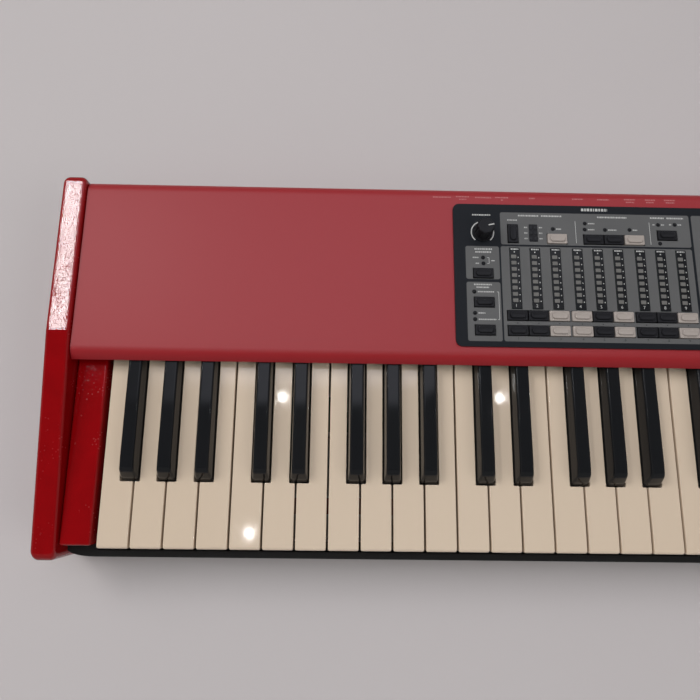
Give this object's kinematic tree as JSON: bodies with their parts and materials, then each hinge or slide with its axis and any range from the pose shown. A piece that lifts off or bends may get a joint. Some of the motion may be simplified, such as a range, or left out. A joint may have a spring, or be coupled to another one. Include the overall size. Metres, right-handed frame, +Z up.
{
  "type": "stage piano",
  "caption": "Flat stage piano with hinged keys between end cheeks, a folded steel cover, a drawbar-style control panel, knobs, buttons and rear sockets.",
  "frame": {"origin": "centre of the footprint, on the surface that the rubber feet stand on", "axes": "+X to the player's right along the keyboard, +Y away from the player to the rear sockets, +Z up"},
  "size_m": [1.0976, 0.286, 0.0978],
  "materials": {
    "red_lacquer": "high-gloss red lacquer over shaped wood",
    "red_painted_steel": "satin red powder coat on folded sheet steel",
    "black_painted_steel": "fine-textured black powder coat on folded sheet steel",
    "white_key_plastic": "warm white moulded plastic, semi-gloss",
    "black_key_plastic": "black moulded plastic, semi-gloss",
    "zinc_plated_steel": "zinc-plated folded sheet",
    "bright_steel": "drawn bright rod",
    "red_felt": "pressed wool felt",
    "circuit_board": "green solder mask over glass-fibre board",
    "panel_print": "printed satin black and grey overlay",
    "dark_plastic": "fine-textured moulded plastic",
    "rubber": "matt moulded rubber",
    "transformer_metal": "varnished core and cans on a plate"
  },
  "bodies": {
    "case": {"bottom_tray": "black_painted_steel", "top_cover": "red_painted_steel", "left_cheek": "red_lacquer", "right_cheek": "red_lacquer", "left_key_block": "red_lacquer", "right_key_block": "red_lacquer", "key_chassis": "zinc_plated_steel", "hinge_rod": "bright_steel", "stop_felt": "red_felt", "contact_board": "circuit_board", "control_panel": "panel_print", "panel_board": "circuit_board", "main_board": "circuit_board", "power_supply": "transformer_metal", "foot_front_left": "rubber", "foot_front_right": "rubber", "foot_back_left": "rubber", "foot_back_right": "rubber", "socket_strip": "dark_plastic", "mains_inlet": "dark_plastic"},
    "key_F1": {"key_F1": "white_key_plastic"},
    "key_Fs1": {"key_Fs1": "black_key_plastic"},
    "key_G1": {"key_G1": "white_key_plastic"},
    "key_Gs1": {"key_Gs1": "black_key_plastic"},
    "key_A1": {"key_A1": "white_key_plastic"},
    "key_As1": {"key_As1": "black_key_plastic"},
    "key_B1": {"key_B1": "white_key_plastic"},
    "key_C2": {"key_C2": "white_key_plastic"},
    "key_Cs2": {"key_Cs2": "black_key_plastic"},
    "key_D2": {"key_D2": "white_key_plastic"},
    "key_Ds2": {"key_Ds2": "black_key_plastic"},
    "key_E2": {"key_E2": "white_key_plastic"},
    "key_F2": {"key_F2": "white_key_plastic"},
    "key_Fs2": {"key_Fs2": "black_key_plastic"},
    "key_G2": {"key_G2": "white_key_plastic"},
    "key_Gs2": {"key_Gs2": "black_key_plastic"},
    "key_A2": {"key_A2": "white_key_plastic"},
    "key_As2": {"key_As2": "black_key_plastic"},
    "key_B2": {"key_B2": "white_key_plastic"},
    "key_C3": {"key_C3": "white_key_plastic"},
    "key_Cs3": {"key_Cs3": "black_key_plastic"},
    "key_D3": {"key_D3": "white_key_plastic"},
    "key_Ds3": {"key_Ds3": "black_key_plastic"},
    "key_E3": {"key_E3": "white_key_plastic"},
    "white_keys_middle": {"white_keys_middle": "white_key_plastic"},
    "black_keys_middle": {"black_keys_middle": "black_key_plastic"},
    "white_keys_top": {"white_keys_top": "white_key_plastic"},
    "black_keys_top": {"black_keys_top": "black_key_plastic"},
    "drawbar_buttons_upper": {"drawbar_buttons_upper": "dark_plastic"},
    "drawbar_buttons_lower": {"drawbar_buttons_lower": "dark_plastic"},
    "effect_row_buttons": {"effect_row_buttons": "dark_plastic"},
    "mode_button": {"mode_button": "dark_plastic"},
    "model_button": {"model_button": "dark_plastic"},
    "rotary_buttons": {"rotary_buttons": "dark_plastic"},
    "program_buttons": {"program_buttons": "dark_plastic"},
    "level_knob": {"level_knob": "dark_plastic"},
    "effect_knob": {"effect_knob": "dark_plastic"},
    "drive_knob": {"drive_knob": "dark_plastic"},
    "tone_knob": {"tone_knob": "dark_plastic"},
    "power_switch": {"power_switch": "dark_plastic"}
  },
  "joints": [
    {"name": "key_F1_hinge", "type": "hinge", "parent": "case", "child": "key_F1", "pos_m": [-0.4935, 0.0755, 0.054], "axis": [1, 0, 0], "range_deg": [0, 2.73], "stiffness_Nm_per_rad": 0.5, "springref_deg": -8.59},
    {"name": "key_Fs1_hinge", "type": "hinge", "parent": "case", "child": "key_Fs1", "pos_m": [-0.4848, 0.0755, 0.054], "axis": [1, 0, 0], "range_deg": [0, 2.73], "stiffness_Nm_per_rad": 0.5, "springref_deg": -8.59},
    {"name": "key_G1_hinge", "type": "hinge", "parent": "case", "child": "key_G1", "pos_m": [-0.47, 0.0755, 0.054], "axis": [1, 0, 0], "range_deg": [0, 2.73], "stiffness_Nm_per_rad": 0.5, "springref_deg": -8.59},
    {"name": "key_C2_hinge", "type": "hinge", "parent": "case", "child": "key_C2", "pos_m": [-0.3995, 0.0755, 0.054], "axis": [1, 0, 0], "range_deg": [0, 2.73], "stiffness_Nm_per_rad": 0.5, "springref_deg": -8.59},
    {"name": "key_Cs2_hinge", "type": "hinge", "parent": "case", "child": "key_Cs2", "pos_m": [-0.38972, 0.0755, 0.054], "axis": [1, 0, 0], "range_deg": [0, 2.73], "stiffness_Nm_per_rad": 0.5, "springref_deg": -8.59},
    {"name": "key_D2_hinge", "type": "hinge", "parent": "case", "child": "key_D2", "pos_m": [-0.376, 0.0755, 0.054], "axis": [1, 0, 0], "range_deg": [0, 2.73], "stiffness_Nm_per_rad": 0.5, "springref_deg": -8.59},
    {"name": "key_E2_hinge", "type": "hinge", "parent": "case", "child": "key_E2", "pos_m": [-0.3525, 0.0755, 0.054], "axis": [1, 0, 0], "range_deg": [0, 2.73], "stiffness_Nm_per_rad": 0.5, "springref_deg": -8.59},
    {"name": "key_As1_hinge", "type": "hinge", "parent": "case", "child": "key_As1", "pos_m": [-0.43123, 0.0755, 0.054], "axis": [1, 0, 0], "range_deg": [0, 2.73], "stiffness_Nm_per_rad": 0.5, "springref_deg": -8.59},
    {"name": "key_B1_hinge", "type": "hinge", "parent": "case", "child": "key_B1", "pos_m": [-0.423, 0.0755, 0.054], "axis": [1, 0, 0], "range_deg": [0, 2.73], "stiffness_Nm_per_rad": 0.5, "springref_deg": -8.59},
    {"name": "key_Gs2_hinge", "type": "hinge", "parent": "case", "child": "key_Gs2", "pos_m": [-0.29375, 0.0755, 0.054], "axis": [1, 0, 0], "range_deg": [0, 2.73], "stiffness_Nm_per_rad": 0.5, "springref_deg": -8.59},
    {"name": "key_E3_hinge", "type": "hinge", "parent": "case", "child": "key_E3", "pos_m": [-0.188, 0.0755, 0.054], "axis": [1, 0, 0], "range_deg": [0, 2.73], "stiffness_Nm_per_rad": 0.5, "springref_deg": -8.59},
    {"name": "white_keys_middle_hinge", "type": "hinge", "parent": "case", "child": "white_keys_middle", "pos_m": [0, 0.0755, 0.054], "axis": [1, 0, 0], "range_deg": [0, 2.73], "stiffness_Nm_per_rad": 7, "springref_deg": -8.59},
    {"name": "black_keys_middle_hinge", "type": "hinge", "parent": "case", "child": "black_keys_middle", "pos_m": [0, 0.0755, 0.054], "axis": [1, 0, 0], "range_deg": [0, 2.73], "stiffness_Nm_per_rad": 4, "springref_deg": -8.59},
    {"name": "white_keys_top_hinge", "type": "hinge", "parent": "case", "child": "white_keys_top", "pos_m": [0, 0.0755, 0.054], "axis": [1, 0, 0], "range_deg": [0, 2.73], "stiffness_Nm_per_rad": 7, "springref_deg": -8.59},
    {"name": "black_keys_top_hinge", "type": "hinge", "parent": "case", "child": "black_keys_top", "pos_m": [0, 0.0755, 0.054], "axis": [1, 0, 0], "range_deg": [0, 2.73], "stiffness_Nm_per_rad": 4, "springref_deg": -8.59},
    {"name": "drawbar_buttons_upper_press", "type": "slide", "parent": "case", "child": "drawbar_buttons_upper", "axis": [0, 0, -1], "range_m": [0, 0.0009], "stiffness_N_per_m": 300, "springref_m": -0.002},
    {"name": "drawbar_buttons_lower_press", "type": "slide", "parent": "case", "child": "drawbar_buttons_lower", "axis": [0, 0, -1], "range_m": [0, 0.0009], "stiffness_N_per_m": 300, "springref_m": -0.002},
    {"name": "effect_row_buttons_press", "type": "slide", "parent": "case", "child": "effect_row_buttons", "axis": [0, 0, -1], "range_m": [0, 0.0009], "stiffness_N_per_m": 300, "springref_m": -0.002},
    {"name": "mode_button_press", "type": "slide", "parent": "case", "child": "mode_button", "axis": [0, 0, -1], "range_m": [0, 0.0009], "stiffness_N_per_m": 300, "springref_m": -0.002},
    {"name": "model_button_press", "type": "slide", "parent": "case", "child": "model_button", "axis": [0, 0, -1], "range_m": [0, 0.0009], "stiffness_N_per_m": 300, "springref_m": -0.002},
    {"name": "rotary_buttons_press", "type": "slide", "parent": "case", "child": "rotary_buttons", "axis": [0, 0, -1], "range_m": [0, 0.0009], "stiffness_N_per_m": 300, "springref_m": -0.002},
    {"name": "program_buttons_press", "type": "slide", "parent": "case", "child": "program_buttons", "axis": [0, 0, -1], "range_m": [0, 0.0009], "stiffness_N_per_m": 300, "springref_m": -0.002},
    {"name": "level_knob_turn", "type": "hinge", "parent": "case", "child": "level_knob", "pos_m": [-0.2255, 0.1027, 0.0843], "axis": [0, 0, 1], "range_deg": [-72, 228]},
    {"name": "effect_knob_turn", "type": "hinge", "parent": "case", "child": "effect_knob", "pos_m": [0.238, 0.1027, 0.0843], "axis": [0, 0, 1], "range_deg": [-150, 150]},
    {"name": "drive_knob_turn", "type": "hinge", "parent": "case", "child": "drive_knob", "pos_m": [0.33, 0.1027, 0.0843], "axis": [0, 0, 1], "range_deg": [-150, 150]},
    {"name": "tone_knob_turn", "type": "hinge", "parent": "case", "child": "tone_knob", "pos_m": [0.422, 0.1027, 0.0843], "axis": [0, 0, 1], "range_deg": [-150, 150]},
    {"name": "power_switch_tilt", "type": "hinge", "parent": "case", "child": "power_switch", "pos_m": [0.367, 0.1368, 0.037], "axis": [-1, 0, 0], "range_deg": [0, 12]},
    {"name": "key_Gs1_hinge", "type": "hinge", "parent": "case", "child": "key_Gs1", "pos_m": [-0.45825, 0.0755, 0.054], "axis": [1, 0, 0], "range_deg": [0, 2.73], "stiffness_Nm_per_rad": 0.5, "springref_deg": -8.59},
    {"name": "key_A1_hinge", "type": "hinge", "parent": "case", "child": "key_A1", "pos_m": [-0.4465, 0.0755, 0.054], "axis": [1, 0, 0], "range_deg": [0, 2.73], "stiffness_Nm_per_rad": 0.5, "springref_deg": -8.59},
    {"name": "key_Ds2_hinge", "type": "hinge", "parent": "case", "child": "key_Ds2", "pos_m": [-0.3619, 0.0755, 0.054], "axis": [1, 0, 0], "range_deg": [0, 2.73], "stiffness_Nm_per_rad": 0.5, "springref_deg": -8.59},
    {"name": "key_F2_hinge", "type": "hinge", "parent": "case", "child": "key_F2", "pos_m": [-0.329, 0.0755, 0.054], "axis": [1, 0, 0], "range_deg": [0, 2.73], "stiffness_Nm_per_rad": 0.5, "springref_deg": -8.59},
    {"name": "key_Fs2_hinge", "type": "hinge", "parent": "case", "child": "key_Fs2", "pos_m": [-0.32031, 0.0755, 0.054], "axis": [1, 0, 0], "range_deg": [0, 2.73], "stiffness_Nm_per_rad": 0.5, "springref_deg": -8.59},
    {"name": "key_G2_hinge", "type": "hinge", "parent": "case", "child": "key_G2", "pos_m": [-0.3055, 0.0755, 0.054], "axis": [1, 0, 0], "range_deg": [0, 2.73], "stiffness_Nm_per_rad": 0.5, "springref_deg": -8.59},
    {"name": "key_A2_hinge", "type": "hinge", "parent": "case", "child": "key_A2", "pos_m": [-0.282, 0.0755, 0.054], "axis": [1, 0, 0], "range_deg": [0, 2.73], "stiffness_Nm_per_rad": 0.5, "springref_deg": -8.59},
    {"name": "key_As2_hinge", "type": "hinge", "parent": "case", "child": "key_As2", "pos_m": [-0.26672, 0.0755, 0.054], "axis": [1, 0, 0], "range_deg": [0, 2.73], "stiffness_Nm_per_rad": 0.5, "springref_deg": -8.59},
    {"name": "key_B2_hinge", "type": "hinge", "parent": "case", "child": "key_B2", "pos_m": [-0.2585, 0.0755, 0.054], "axis": [1, 0, 0], "range_deg": [0, 2.73], "stiffness_Nm_per_rad": 0.5, "springref_deg": -8.59},
    {"name": "key_C3_hinge", "type": "hinge", "parent": "case", "child": "key_C3", "pos_m": [-0.235, 0.0755, 0.054], "axis": [1, 0, 0], "range_deg": [0, 2.73], "stiffness_Nm_per_rad": 0.5, "springref_deg": -8.59},
    {"name": "key_Cs3_hinge", "type": "hinge", "parent": "case", "child": "key_Cs3", "pos_m": [-0.22522, 0.0755, 0.054], "axis": [1, 0, 0], "range_deg": [0, 2.73], "stiffness_Nm_per_rad": 0.5, "springref_deg": -8.59},
    {"name": "key_D3_hinge", "type": "hinge", "parent": "case", "child": "key_D3", "pos_m": [-0.2115, 0.0755, 0.054], "axis": [1, 0, 0], "range_deg": [0, 2.73], "stiffness_Nm_per_rad": 0.5, "springref_deg": -8.59},
    {"name": "key_Ds3_hinge", "type": "hinge", "parent": "case", "child": "key_Ds3", "pos_m": [-0.1974, 0.0755, 0.054], "axis": [1, 0, 0], "range_deg": [0, 2.73], "stiffness_Nm_per_rad": 0.5, "springref_deg": -8.59}
  ]
}
